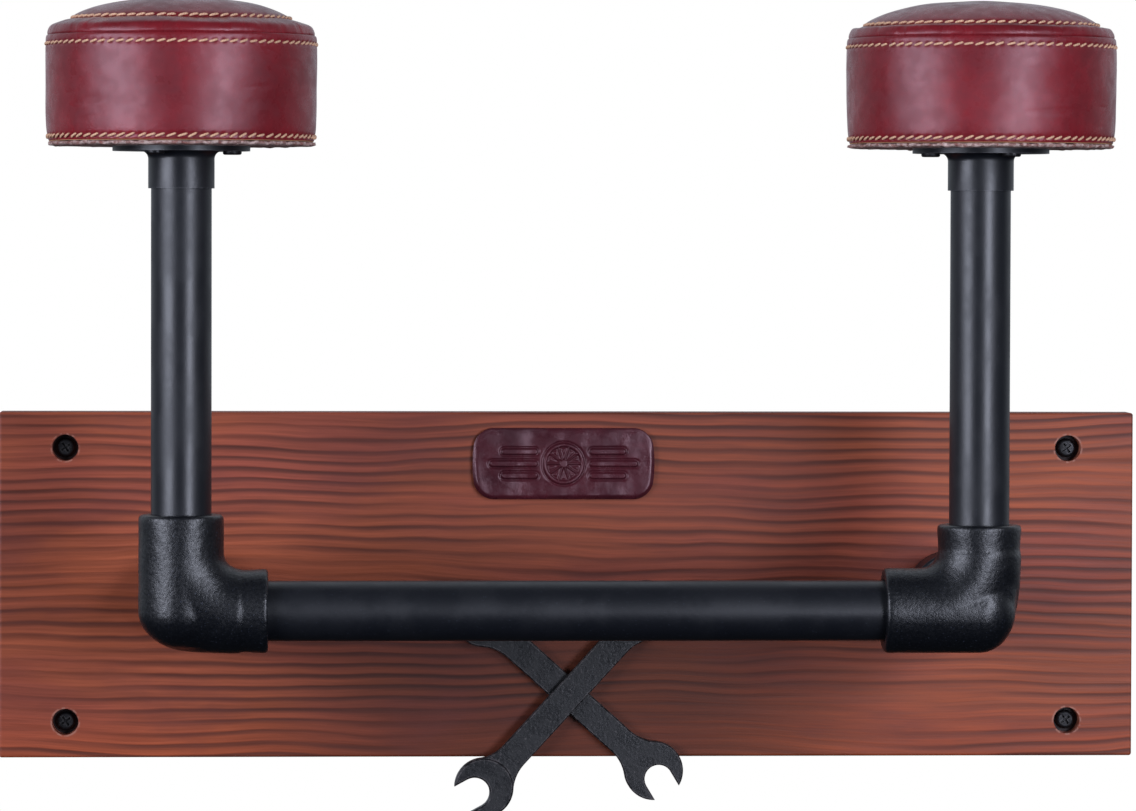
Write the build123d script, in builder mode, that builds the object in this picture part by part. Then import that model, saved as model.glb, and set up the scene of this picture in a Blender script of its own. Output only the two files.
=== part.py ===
"""Wall rack for riding gear: a timber board, a black iron pipe frame and two padded leather posts.

X runs along the board to the right, Y from the room into the wall, Z up.
The origin is the middle of the board's back face, on the wall's surface. All sizes are in mm.
"""

import os
from math import cos, radians, sin

from build123d import *

os.makedirs("parts", exist_ok=True)

# Board
BOARD_WIDTH = 527.0
BOARD_HEIGHT = 160.0
BOARD_THICKNESS = 20.0
BOARD_EDGE = 1.2

# Screws that hold the board to the wall
WALL_SCREW_SPACING_X = 466.0
WALL_SCREW_SPACING_Z = 127.0
WALL_SCREW_THREAD = 4.5
WALL_SCREW_NECK = 3.4
WALL_SCREW_HEAD = 8.8
WALL_SCREW_HEAD_HEIGHT = 3.0
WALL_SCREW_HEAD_ROUND = 1.6
WALL_SCREW_REACH = 32.0
WALL_SCREW_POINT_LENGTH = 4.0
WALL_SCREW_POINT_TAPER = 1.8
CROSS_RECESS_WIDTH = 5.0
CROSS_RECESS_SLOT = 1.1
CROSS_RECESS_DEPTH = 1.7
CROSS_RECESS_TURN = 35.0
COUNTERBORE_DIAMETER = 12.2
COUNTERBORE_DEPTH = 8.0

# Pipe frame
POST_SPACING = 356.0
STAND_OFF = 110.0
CROSSBAR_Z = -5.0
PIPE_OD = 26.9
PIPE_WALL = 2.6
SOCKET_DEPTH = 18.0
SOCKET_CLEARANCE = 0.1

# Three-way elbow casting
ELBOW_OD = 38.0
ELBOW_LONG_LEG = 43.0
ELBOW_SHORT_LEG = 38.6
ELBOW_REAR_LEG = 40.0
ELBOW_CORNER_RADIUS = 16.4
ELBOW_INNER_FILLET = 7.0
ELBOW_WEB_INSET = 0.15
ELBOW_MOUTH_CHAMFER = 0.8

# Stand-off socket at the board, and its bolt
STANDOFF_SOCKET_OD = 42.0
STANDOFF_SOCKET_LENGTH = 22.0
STANDOFF_SOCKET_CHAMFER = 1.0
STANDOFF_WEB = 9.0
BOLT_DIAMETER = 8.0
BOLT_HEAD_FLATS = 13.0
BOLT_HEAD_HEIGHT = 5.3
BOLT_POCKET = 22.0
BOLT_POCKET_DEPTH = 8.0
BOLT_WASHER_OD = 16.0
BOLT_WASHER_THICKNESS = 1.6

# Padded posts
PAD_RADIUS = 60.5
PAD_BOTTOM_Z = 201.3
PAD_SEAM_Z = 246.8
PAD_RING_Z = 258.8
PAD_RING_RADIUS = 48.2
PAD_TOP_Z = 267.8
LEATHER = 2.0
PAD_BASE_THICKNESS = 18.0

# Flange under each pad
FLANGE_DIAMETER = 61.0
FLANGE_THICKNESS = 2.2
FLANGE_HUB_OD = 29.4
FLANGE_HUB_BOTTOM_Z = 182.6
FLANGE_FLARE = 3.4
PAD_SCREW_COUNT = 3
PAD_SCREW_PCD = 45.0
PAD_SCREW_SHANK = 4.0
PAD_SCREW_LENGTH = 17.0
PAD_SCREW_HEAD = 8.4
PAD_SCREW_HEAD_HEIGHT = 1.6
PAD_SCREW_HEAD_ROUND = 0.9

# Leather badge
BADGE_WIDTH = 84.5
BADGE_HEIGHT = 33.0
BADGE_THICKNESS = 3.0
BADGE_CORNER = 8.0
BADGE_EDGE = 1.2
BADGE_X = -2.5
BADGE_Z = 56.3

# Crossed spanners
SPANNER_CROSSING_Z = -50.6
SPANNER_HEAD_OFFSET = 53.3
FRONT_LOWER_HEAD_OFFSET = 58.3
SPANNER_HEAD_RADIUS = 13.7
SPANNER_SHANK_WIDTH = 13.0
SPANNER_NECK_RADIUS = 19.0
REAR_SPANNER_THICKNESS = 5.0
REAR_SPANNER_BEVEL = 0.6
FRONT_SPANNER_SHANK = 4.0
FRONT_SPANNER_SHANK_BEVEL = 0.5
FRONT_SPANNER_HEAD = 6.0
FRONT_SPANNER_HEAD_BEVEL = 0.8
REAR_SPANNER_ANGLE = -42.0
FRONT_SPANNER_ANGLE = 227.5
REAR_MOUTH = 13.0
FRONT_MOUTH = 14.0
REAR_MOUTH_TURN = -17.0
FRONT_MOUTH_TURN = -19.0
MOUTH_SEAT = 2.0
SPANNER_SCREW_SHANK = 4.0
SPANNER_SCREW_HEAD = 8.0
SPANNER_SCREW_HEAD_HEIGHT = 2.6
SPANNER_SCREW_DEPTH = 12.0
SPANNER_WASHER_OD = 22.0
SPANNER_WASHER_THICKNESS = 1.5
SPACER_OD = 16.0

# Small fits
PILOT_CLEARANCE = 0.05
THROUGH_CLEARANCE = 0.25

# Worked out from the driving dimensions
BOARD_FRONT = -BOARD_THICKNESS
FRAME_Y = BOARD_FRONT - STAND_OFF
PIPE_RADIUS = PIPE_OD / 2
PIPE_BORE = PIPE_RADIUS - PIPE_WALL
SOCKET_RADIUS = PIPE_RADIUS + SOCKET_CLEARANCE
ELBOW_RADIUS = ELBOW_OD / 2
POSTS = {"left": -POST_SPACING / 2, "right": POST_SPACING / 2}
UP_LEG = {"left": ELBOW_LONG_LEG, "right": ELBOW_SHORT_LEG}
ACROSS_LEG = {"left": ELBOW_SHORT_LEG, "right": ELBOW_LONG_LEG}
WEB_FACE = BOARD_FRONT - STANDOFF_WEB
FLANGE_PLATE_Z = PAD_BOTTOM_Z - FLANGE_THICKNESS

# Planes that face the room: local x is the rack's X and local y is its Z
BACK_PLANE = Plane.XZ
FRONT_PLANE = Plane.XZ.offset(-BOARD_FRONT)
REAR_PLANE = Plane(origin=(0, 0, 0), x_dir=(1, 0, 0), z_dir=(0, 1, 0))


def room_plane(y):
    """The plane at depth y whose normal points into the room."""
    return Plane.XZ.offset(-y)


def level_plane(x, z):
    """The level plane at height z whose origin is on a post's axis."""
    return Plane(origin=(x, FRAME_Y, z), x_dir=(1, 0, 0), z_dir=(0, 0, 1))


def upper_seat(angle, mouth, mouth_turn):
    """Where a spanner's fixing screw stands: the seat of its upper mouth, as (x, z)."""
    shank, facing = radians(angle), radians(angle + 180.0 + mouth_turn)
    seat = mouth / 2 - MOUTH_SEAT
    return (
        -SPANNER_HEAD_OFFSET * cos(shank) + seat * cos(facing),
        SPANNER_CROSSING_Z - SPANNER_HEAD_OFFSET * sin(shank) + seat * sin(facing),
    )


REAR_FIXING = upper_seat(REAR_SPANNER_ANGLE, REAR_MOUTH, REAR_MOUTH_TURN)
FRONT_FIXING = upper_seat(FRONT_SPANNER_ANGLE, FRONT_MOUTH, FRONT_MOUTH_TURN)

# ---------------------------------------------------------------- board
with BuildPart() as back_board:
    with BuildSketch(BACK_PLANE):
        Rectangle(BOARD_WIDTH, BOARD_HEIGHT)
    extrude(amount=BOARD_THICKNESS)
    fillet(back_board.edges(), radius=BOARD_EDGE)
    with Locations(FRONT_PLANE):
        with GridLocations(WALL_SCREW_SPACING_X, WALL_SCREW_SPACING_Z, 2, 2):
            CounterBoreHole(
                WALL_SCREW_THREAD / 2 + THROUGH_CLEARANCE, COUNTERBORE_DIAMETER / 2, COUNTERBORE_DEPTH
            )
        with Locations(REAR_FIXING, FRONT_FIXING):
            Hole(SPANNER_SCREW_SHANK / 2 + PILOT_CLEARANCE, depth=SPANNER_SCREW_DEPTH)
    with Locations(REAR_PLANE):
        with Locations(*[(x, -CROSSBAR_Z) for x in POSTS.values()]):
            CounterBoreHole(BOLT_DIAMETER / 2 + THROUGH_CLEARANCE, BOLT_POCKET / 2, BOLT_POCKET_DEPTH)
back_board.part.label = "back_board"
export_step(back_board.part, "parts/back_board.step")

# ---------------------------------------------------------------- wall screws
HEAD_SEAT_Y = BOARD_FRONT + COUNTERBORE_DEPTH
with BuildPart() as wall_screws:
    with BuildSketch(room_plane(HEAD_SEAT_Y)):
        with GridLocations(WALL_SCREW_SPACING_X, WALL_SCREW_SPACING_Z, 2, 2):
            Circle(WALL_SCREW_HEAD / 2)
    extrude(amount=WALL_SCREW_HEAD_HEIGHT)
    fillet(wall_screws.edges().group_by(Axis.Y)[0], radius=WALL_SCREW_HEAD_ROUND)
    # The smooth neck ends at the wall, where the thread begins
    with BuildSketch(room_plane(HEAD_SEAT_Y)):
        with GridLocations(WALL_SCREW_SPACING_X, WALL_SCREW_SPACING_Z, 2, 2):
            Circle(WALL_SCREW_NECK / 2)
    extrude(amount=HEAD_SEAT_Y)
    with BuildSketch(BACK_PLANE):
        with GridLocations(WALL_SCREW_SPACING_X, WALL_SCREW_SPACING_Z, 2, 2):
            Circle(WALL_SCREW_THREAD / 2)
    extrude(amount=-WALL_SCREW_REACH)
    tips = wall_screws.edges().group_by(Axis.Y)[-1]
    chamfer(tips, length=WALL_SCREW_POINT_LENGTH, length2=WALL_SCREW_POINT_TAPER)
    with BuildSketch(room_plane(HEAD_SEAT_Y - WALL_SCREW_HEAD_HEIGHT)):
        with GridLocations(WALL_SCREW_SPACING_X, WALL_SCREW_SPACING_Z, 2, 2):
            Rectangle(CROSS_RECESS_WIDTH, CROSS_RECESS_SLOT, rotation=CROSS_RECESS_TURN)
            Rectangle(CROSS_RECESS_SLOT, CROSS_RECESS_WIDTH, rotation=CROSS_RECESS_TURN)
    extrude(amount=-CROSS_RECESS_DEPTH, mode=Mode.SUBTRACT)
wall_screws.part.label = "wall_screws"
export_step(wall_screws.part, "parts/wall_screws.step")

# ---------------------------------------------------------------- badge
with BuildPart() as leather_badge:
    with BuildSketch(FRONT_PLANE):
        with Locations((BADGE_X, BADGE_Z)):
            RectangleRounded(BADGE_WIDTH, BADGE_HEIGHT, BADGE_CORNER)
    extrude(amount=BADGE_THICKNESS)
    fillet(leather_badge.edges().group_by(Axis.Y)[0], radius=BADGE_EDGE)
leather_badge.part.label = "leather_badge"
export_step(leather_badge.part, "parts/leather_badge.step")


# ---------------------------------------------------------------- pipe frame
def elbow_casting():
    """A side-outlet elbow with its corner at the origin: long leg up Z, short leg along X, rear leg along Y."""
    bend_radius = ELBOW_RADIUS + ELBOW_INNER_FILLET
    web_radius = ELBOW_RADIUS - ELBOW_WEB_INSET
    with BuildPart() as casting:
        with BuildSketch(Plane.XZ):
            with BuildLine():
                Polyline(
                    (0, -ELBOW_CORNER_RADIUS),
                    (0, ELBOW_LONG_LEG),
                    (ELBOW_RADIUS, ELBOW_LONG_LEG),
                    (ELBOW_RADIUS, 0),
                )
                EllipticalCenterArc((0, 0), ELBOW_RADIUS, ELBOW_CORNER_RADIUS, start_angle=270, arc_size=90)
            make_face()
        revolve(axis=Axis.Z)
        for plane, length in ((Plane.YZ, ELBOW_SHORT_LEG), (Plane.ZX, ELBOW_REAR_LEG)):
            with BuildSketch(plane):
                Circle(ELBOW_CORNER_RADIUS)
            with BuildSketch(plane.offset(length)):
                Circle(ELBOW_RADIUS)
            loft()
        mouths = casting.edges().filter_by(GeomType.CIRCLE).group_by(SortBy.RADIUS)[-1]
        outer_mouths = [
            mouths.sort_by(Axis.X)[-1],
            mouths.sort_by(Axis.Y)[-1],
            mouths.sort_by(Axis.Z)[-1],
        ]
        chamfer(outer_mouths, length=ELBOW_MOUTH_CHAMFER)
        # Quarter bends fill the inner corner between each pair of legs
        for plane, axis_origin, axis_direction, arc in (
            (Plane.XY, (bend_radius, 0, bend_radius), (0, 1, 0), -90),
            (Plane.XY, (0, bend_radius, bend_radius), (1, 0, 0), 90),
            (Plane.YZ, (bend_radius, bend_radius, 0), (0, 0, 1), -90),
        ):
            with BuildSketch(plane.offset(bend_radius)):
                Circle(web_radius)
            revolve(axis=Axis(axis_origin, axis_direction), revolution_arc=arc)
        for plane, leg in (
            (Plane.XY, ELBOW_LONG_LEG),
            (Plane.YZ, ELBOW_SHORT_LEG),
            (Plane.ZX, ELBOW_REAR_LEG),
        ):
            with BuildSketch(plane):
                Circle(PIPE_BORE)
            extrude(amount=leg, mode=Mode.SUBTRACT)
            with BuildSketch(plane.offset(leg - SOCKET_DEPTH)):
                Circle(SOCKET_RADIUS)
            extrude(amount=SOCKET_DEPTH, mode=Mode.SUBTRACT)
    return casting.part


def pipe(start_plane, length):
    """A straight length of pipe that starts on a plane and runs along its normal."""
    with BuildPart() as tube:
        with BuildSketch(start_plane):
            Circle(PIPE_RADIUS)
            Circle(PIPE_BORE, mode=Mode.SUBTRACT)
        extrude(amount=length)
    return tube.part


casting = elbow_casting()
left_elbow = casting.moved(Location((POSTS["left"], FRAME_Y, CROSSBAR_Z)))
left_elbow.label = "left_elbow"
export_step(left_elbow, "parts/left_elbow.step")
# The same casting turned about Y, so that its long leg takes the crossbar
right_elbow = casting.moved(Location((POSTS["right"], FRAME_Y, CROSSBAR_Z), (0, -90, 0)))
right_elbow.label = "right_elbow"
export_step(right_elbow, "parts/right_elbow.step")

bar_start = POSTS["left"] + ACROSS_LEG["left"] - SOCKET_DEPTH
bar_end = POSTS["right"] - ACROSS_LEG["right"] + SOCKET_DEPTH
crossbar_pipe = pipe(
    Plane(origin=(bar_start, FRAME_Y, CROSSBAR_Z), x_dir=(0, 1, 0), z_dir=(1, 0, 0)), bar_end - bar_start
)
crossbar_pipe.label = "crossbar_pipe"
export_step(crossbar_pipe, "parts/crossbar_pipe.step")

for side, x in POSTS.items():
    foot_z = CROSSBAR_Z + UP_LEG[side] - SOCKET_DEPTH
    upright_pipe = pipe(level_plane(x, foot_z), FLANGE_PLATE_Z - foot_z)
    upright_pipe.label = f"{side}_upright_pipe"
    export_step(upright_pipe, f"parts/{side}_upright_pipe.step")

    rear_y = FRAME_Y + ELBOW_REAR_LEG - SOCKET_DEPTH
    standoff_pipe = pipe(
        Plane(origin=(x, rear_y, CROSSBAR_Z), x_dir=(1, 0, 0), z_dir=(0, 1, 0)), WEB_FACE - rear_y
    )
    standoff_pipe.label = f"{side}_standoff_pipe"
    export_step(standoff_pipe, f"parts/{side}_standoff_pipe.step")

    with BuildPart() as standoff_socket:
        with BuildSketch(FRONT_PLANE):
            with Locations((x, CROSSBAR_Z)):
                Circle(STANDOFF_SOCKET_OD / 2)
        extrude(amount=STANDOFF_SOCKET_LENGTH)
        chamfer(standoff_socket.edges().group_by(Axis.Y)[0], length=STANDOFF_SOCKET_CHAMFER)
        with BuildSketch(room_plane(WEB_FACE)):
            with Locations((x, CROSSBAR_Z)):
                Circle(SOCKET_RADIUS)
        extrude(amount=STANDOFF_SOCKET_LENGTH, mode=Mode.SUBTRACT)
        with BuildSketch(FRONT_PLANE):
            with Locations((x, CROSSBAR_Z)):
                Circle(BOLT_DIAMETER / 2 + PILOT_CLEARANCE)
        extrude(amount=STANDOFF_WEB, mode=Mode.SUBTRACT)
    standoff_socket.part.label = f"{side}_standoff_socket"
    export_step(standoff_socket.part, f"parts/{side}_standoff_socket.step")

WASHER_BACK = -BOLT_POCKET_DEPTH + BOLT_WASHER_THICKNESS
with BuildPart() as standoff_washers:
    for x in POSTS.values():
        with BuildSketch(room_plane(WASHER_BACK)):
            with Locations((x, CROSSBAR_Z)):
                Circle(BOLT_WASHER_OD / 2)
                Circle(BOLT_DIAMETER / 2 + THROUGH_CLEARANCE, mode=Mode.SUBTRACT)
        extrude(amount=BOLT_WASHER_THICKNESS)
standoff_washers.part.label = "standoff_washers"
export_step(standoff_washers.part, "parts/standoff_washers.step")

with BuildPart() as standoff_bolts:
    for x in POSTS.values():
        with BuildSketch(room_plane(WASHER_BACK)):
            with Locations((x, CROSSBAR_Z)):
                RegularPolygon(BOLT_HEAD_FLATS / 2, 6, major_radius=False)
        extrude(amount=-BOLT_HEAD_HEIGHT)
        with BuildSketch(room_plane(WASHER_BACK)):
            with Locations((x, CROSSBAR_Z)):
                Circle(BOLT_DIAMETER / 2)
        extrude(amount=WASHER_BACK - WEB_FACE)
standoff_bolts.part.label = "standoff_bolts"
export_step(standoff_bolts.part, "parts/standoff_bolts.step")

# ---------------------------------------------------------------- padded posts
# One screw of each pad points towards the middle of the rack
TOWARDS_MIDDLE = {"left": 0.0, "right": 180.0}


def crown(x, inset):
    """A pad's rounded top above its seam: a flat dome, then a rounder shoulder, both drawn in by an inset."""
    edge = PAD_RADIUS - inset
    ring = PAD_RING_RADIUS - inset / 2
    ring_z = PAD_RING_Z - inset
    top_z = PAD_TOP_Z - inset
    with BuildPart() as rounded_top:
        with BuildSketch(Plane(origin=(x, FRAME_Y, 0), x_dir=(1, 0, 0), z_dir=(0, -1, 0))):
            with BuildLine():
                dome = ThreePointArc((0, top_z), (ring / 2, top_z - (top_z - ring_z) / 4), (ring, ring_z))
                TangentArc((edge, PAD_SEAM_Z), dome @ 1, tangent=(0, 1), tangent_from_first=True)
                Polyline((edge, PAD_SEAM_Z), (0, PAD_SEAM_Z), (0, top_z))
            make_face()
        revolve(axis=Axis((x, FRAME_Y, 0), (0, 0, 1)))
    return rounded_top.part


for side, x in POSTS.items():
    first_angle = TOWARDS_MIDDLE[side]
    plate_plane = level_plane(x, FLANGE_PLATE_Z)

    with BuildPart() as pad_flange:
        with BuildSketch(plate_plane):
            Circle(FLANGE_DIAMETER / 2)
        extrude(amount=FLANGE_THICKNESS)
        with BuildSketch(plate_plane):
            Circle(FLANGE_HUB_OD / 2)
        extrude(amount=FLANGE_HUB_BOTTOM_Z - FLANGE_PLATE_Z)
        hub_rims = pad_flange.edges().filter_by(GeomType.CIRCLE).group_by(SortBy.RADIUS)[0]
        hub_root = hub_rims.sort_by(Axis.Z)[-1]
        fillet(hub_root, radius=FLANGE_FLARE)
        with BuildSketch(plate_plane):
            Circle(SOCKET_RADIUS)
        extrude(amount=FLANGE_HUB_BOTTOM_Z - FLANGE_PLATE_Z, mode=Mode.SUBTRACT)
        with BuildSketch(plate_plane):
            with PolarLocations(PAD_SCREW_PCD / 2, PAD_SCREW_COUNT, start_angle=first_angle):
                Circle(PAD_SCREW_SHANK / 2 + THROUGH_CLEARANCE)
        extrude(amount=FLANGE_THICKNESS, mode=Mode.SUBTRACT)
    pad_flange.part.label = f"{side}_pad_flange"
    export_step(pad_flange.part, f"parts/{side}_pad_flange.step")

    with BuildPart() as pad_screws:
        with BuildSketch(plate_plane):
            with PolarLocations(PAD_SCREW_PCD / 2, PAD_SCREW_COUNT, start_angle=first_angle):
                Circle(PAD_SCREW_HEAD / 2)
        extrude(amount=-PAD_SCREW_HEAD_HEIGHT)
        fillet(pad_screws.edges().group_by(Axis.Z)[0], radius=PAD_SCREW_HEAD_ROUND)
        with BuildSketch(plate_plane):
            with PolarLocations(PAD_SCREW_PCD / 2, PAD_SCREW_COUNT, start_angle=first_angle):
                Circle(PAD_SCREW_SHANK / 2)
        extrude(amount=PAD_SCREW_LENGTH)
    pad_screws.part.label = f"{side}_pad_screws"
    export_step(pad_screws.part, f"parts/{side}_pad_screws.step")

    bottom_plane = level_plane(x, PAD_BOTTOM_Z)
    with BuildPart() as pad_bottom:
        with BuildSketch(bottom_plane):
            Circle(PAD_RADIUS)
            with PolarLocations(PAD_SCREW_PCD / 2, PAD_SCREW_COUNT, start_angle=first_angle):
                Circle(PAD_SCREW_SHANK / 2 + THROUGH_CLEARANCE, mode=Mode.SUBTRACT)
        extrude(amount=LEATHER)
    pad_bottom.part.label = f"{side}_pad_bottom"
    export_step(pad_bottom.part, f"parts/{side}_pad_bottom.step")

    base_plane = bottom_plane.offset(LEATHER)
    with BuildPart() as pad_base:
        with BuildSketch(base_plane):
            Circle(PAD_RADIUS - LEATHER)
            with PolarLocations(PAD_SCREW_PCD / 2, PAD_SCREW_COUNT, start_angle=first_angle):
                Circle(PAD_SCREW_SHANK / 2 + PILOT_CLEARANCE, mode=Mode.SUBTRACT)
        extrude(amount=PAD_BASE_THICKNESS)
    pad_base.part.label = f"{side}_pad_base"
    export_step(pad_base.part, f"parts/{side}_pad_base.step")

    with BuildPart() as pad_band:
        with BuildSketch(base_plane):
            Circle(PAD_RADIUS)
            Circle(PAD_RADIUS - LEATHER, mode=Mode.SUBTRACT)
        extrude(amount=PAD_SEAM_Z - PAD_BOTTOM_Z - LEATHER)
    pad_band.part.label = f"{side}_pad_band"
    export_step(pad_band.part, f"parts/{side}_pad_band.step")

    foam_bottom_z = PAD_BOTTOM_Z + LEATHER + PAD_BASE_THICKNESS
    with BuildPart() as pad_foam:
        add(crown(x, LEATHER))
        with BuildSketch(level_plane(x, foam_bottom_z)):
            Circle(PAD_RADIUS - LEATHER)
        extrude(amount=PAD_SEAM_Z - foam_bottom_z)
    pad_foam.part.label = f"{side}_pad_foam"
    export_step(pad_foam.part, f"parts/{side}_pad_foam.step")

    with BuildPart() as pad_top:
        add(crown(x, 0.0))
        add(crown(x, LEATHER), mode=Mode.SUBTRACT)
    pad_top.part.label = f"{side}_pad_top"
    export_step(pad_top.part, f"parts/{side}_pad_top.step")


# ---------------------------------------------------------------- crossed spanners
def spanner_outline(lower_offset, mouth, mouth_turn):
    """Flat outline of a double-ended open spanner along X, lower head at +X, with mouths turned from the shank."""
    ends = ((lower_offset, 0.0), (-SPANNER_HEAD_OFFSET, 180.0))
    with BuildSketch() as outline:
        with Locations(*[(x, 0) for x, facing in ends]):
            Circle(SPANNER_HEAD_RADIUS)
        with Locations((-SPANNER_HEAD_OFFSET, 0)):
            Rectangle(
                SPANNER_HEAD_OFFSET + lower_offset, SPANNER_SHANK_WIDTH, align=(Align.MIN, Align.CENTER)
            )
        # Only the corners beside the shank are rounded, not the circles' own seam points on its axis
        neck_corners = [corner for corner in outline.vertices() if abs(corner.Y) > SPANNER_SHANK_WIDTH / 4]
        fillet(neck_corners, radius=SPANNER_NECK_RADIUS)
        for x, facing in ends:
            with Locations(Location((x, 0, 0), (0, 0, facing + mouth_turn))):
                with Locations((mouth / 2 - MOUTH_SEAT, 0)):
                    Circle(mouth / 2, mode=Mode.SUBTRACT)
                    Rectangle(
                        SPANNER_HEAD_RADIUS, mouth, align=(Align.MIN, Align.CENTER), mode=Mode.SUBTRACT
                    )
    return outline.sketch


def spanner_plane(y, angle):
    """The plane at depth y that faces the room, with its x along a spanner and its origin on the crossing."""
    along = (cos(radians(angle)), 0, sin(radians(angle)))
    return Plane(origin=(0, y, SPANNER_CROSSING_Z), x_dir=along, z_dir=(0, -1, 0))


with BuildPart() as rear_spanner:
    with BuildSketch(spanner_plane(BOARD_FRONT, REAR_SPANNER_ANGLE)):
        add(spanner_outline(SPANNER_HEAD_OFFSET, REAR_MOUTH, REAR_MOUTH_TURN))
    extrude(amount=REAR_SPANNER_THICKNESS)
    chamfer(rear_spanner.edges().group_by(Axis.Y)[0], length=REAR_SPANNER_BEVEL)
rear_spanner.part.label = "rear_spanner"
export_step(rear_spanner.part, "parts/rear_spanner.step")

FRONT_SHANK_BACK = BOARD_FRONT - REAR_SPANNER_THICKNESS
FRONT_HEAD_BACK = FRONT_SHANK_BACK + (FRONT_SPANNER_HEAD - FRONT_SPANNER_SHANK) / 2
with BuildPart() as front_spanner:
    with BuildSketch(spanner_plane(FRONT_SHANK_BACK, FRONT_SPANNER_ANGLE)):
        add(spanner_outline(FRONT_LOWER_HEAD_OFFSET, FRONT_MOUTH, FRONT_MOUTH_TURN))
    extrude(amount=FRONT_SPANNER_SHANK)
    chamfer(front_spanner.edges().group_by(Axis.Y)[0], length=FRONT_SPANNER_SHANK_BEVEL)
    with BuildSketch(spanner_plane(FRONT_HEAD_BACK, FRONT_SPANNER_ANGLE)):
        with Locations((-SPANNER_HEAD_OFFSET, 0), (FRONT_LOWER_HEAD_OFFSET, 0)):
            Circle(SPANNER_HEAD_RADIUS)
        add(spanner_outline(FRONT_LOWER_HEAD_OFFSET, FRONT_MOUTH, FRONT_MOUTH_TURN), mode=Mode.INTERSECT)
    extrude(amount=FRONT_SPANNER_HEAD)
    chamfer(front_spanner.edges().group_by(Axis.Y)[0], length=FRONT_SPANNER_HEAD_BEVEL)
front_spanner.part.label = "front_spanner"
export_step(front_spanner.part, "parts/front_spanner.step")

FIXINGS = (
    (REAR_FIXING, BOARD_FRONT - REAR_SPANNER_THICKNESS),
    (FRONT_FIXING, FRONT_HEAD_BACK - FRONT_SPANNER_HEAD),
)
with BuildPart() as spanner_washers:
    for fixing, face_y in FIXINGS:
        with BuildSketch(room_plane(face_y)):
            with Locations(fixing):
                Circle(SPANNER_WASHER_OD / 2)
                Circle(SPANNER_SCREW_SHANK / 2 + THROUGH_CLEARANCE, mode=Mode.SUBTRACT)
        extrude(amount=SPANNER_WASHER_THICKNESS)
spanner_washers.part.label = "spanner_washers"
export_step(spanner_washers.part, "parts/spanner_washers.step")

with BuildPart() as spanner_screws:
    for fixing, face_y in FIXINGS:
        head_seat = face_y - SPANNER_WASHER_THICKNESS
        with BuildSketch(room_plane(head_seat)):
            with Locations(fixing):
                Circle(SPANNER_SCREW_HEAD / 2)
        extrude(amount=SPANNER_SCREW_HEAD_HEIGHT)
        with BuildSketch(room_plane(head_seat)):
            with Locations(fixing):
                Circle(SPANNER_SCREW_SHANK / 2)
        extrude(amount=head_seat - BOARD_FRONT - SPANNER_SCREW_DEPTH + PILOT_CLEARANCE)
spanner_screws.part.label = "spanner_screws"
export_step(spanner_screws.part, "parts/spanner_screws.step")

with BuildPart() as spanner_spacer:
    with BuildSketch(FRONT_PLANE):
        with Locations(FRONT_FIXING):
            Circle(SPACER_OD / 2)
            Circle(SPANNER_SCREW_SHANK / 2 + THROUGH_CLEARANCE, mode=Mode.SUBTRACT)
    extrude(amount=BOARD_FRONT - FRONT_HEAD_BACK)
spanner_spacer.part.label = "spanner_spacer"
export_step(spanner_spacer.part, "parts/spanner_spacer.step")
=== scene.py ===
"""Finished look of a wall rack for riding gear: stained board, black pipe frame and two stitched leather pads.

Lengths in the geometry functions are millimetres in the rack's own frame, and are turned to metres as
each mesh is made. X runs along the board, Y into the wall and Z up.
"""

from math import cos, pi, radians, sin, sqrt, tau

import bmesh
import bpy
import numpy as np
from bpy.props import FloatProperty, FloatVectorProperty, IntProperty, PointerProperty
from bpy.types import Operator, Panel, PropertyGroup
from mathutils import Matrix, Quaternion, Vector


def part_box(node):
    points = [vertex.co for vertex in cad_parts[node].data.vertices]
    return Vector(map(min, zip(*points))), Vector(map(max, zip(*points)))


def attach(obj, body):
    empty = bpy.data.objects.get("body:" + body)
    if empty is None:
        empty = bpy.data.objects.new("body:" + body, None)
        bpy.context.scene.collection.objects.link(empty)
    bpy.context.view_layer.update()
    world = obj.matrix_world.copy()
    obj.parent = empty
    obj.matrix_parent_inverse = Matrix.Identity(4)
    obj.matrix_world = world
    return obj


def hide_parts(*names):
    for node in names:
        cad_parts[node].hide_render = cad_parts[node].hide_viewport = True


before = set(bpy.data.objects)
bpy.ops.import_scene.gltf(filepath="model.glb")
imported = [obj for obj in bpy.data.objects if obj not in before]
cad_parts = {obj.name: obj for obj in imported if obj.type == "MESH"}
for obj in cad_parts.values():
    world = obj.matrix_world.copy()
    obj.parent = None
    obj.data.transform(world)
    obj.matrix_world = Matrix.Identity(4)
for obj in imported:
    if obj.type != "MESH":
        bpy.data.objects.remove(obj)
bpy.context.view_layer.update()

bl_info = {
    "name": "Pipe Wall Rack",
    "version": (1, 0, 0),
    "blender": (4, 5, 0),
    "location": "3D View > Sidebar > Wall Rack",
    "description": "Builds the timber, leather, thread and iron finishes of a pipe wall rack",
    "category": "Object",
}

MM = 0.001
SIDES = ("left", "right")
SENSOR_WIDTH = 36.0  # millimetres
STUFFING_FRAMES = 20
CASTING_SMOOTHING = 20  # passes that round the castings' edges
BADGE_COLUMNS = 720
COUNTERBORE_RADIUS = 0.0061  # metres, as the materials' coordinates are
# Each softbox: name, turn round the rack in degrees, width in metres, share of the softboxes' power
SOFTBOXES = (("Left softbox", -54.0, 0.78, 1.22), ("Right softbox", 31.0, 0.50, 1.15))
SOFTBOX_HEIGHT, SOFTBOX_DISTANCE = 1.7, 2.1


# ---------------------------------------------------------------- reading the frame
def span(node):
    """A CAD node's low and high corner in millimetres, as two arrays."""
    low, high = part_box(node)
    return np.array(low) / MM, np.array(high) / MM


def srgb(red, green, blue):
    """A display colour, 0 to 255 a channel, as linear light."""
    c = np.array((red, green, blue)) / 255
    return tuple(np.where(c <= 0.04045, c / 12.92, ((c + 0.055) / 1.055) ** 2.4).tolist())


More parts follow.
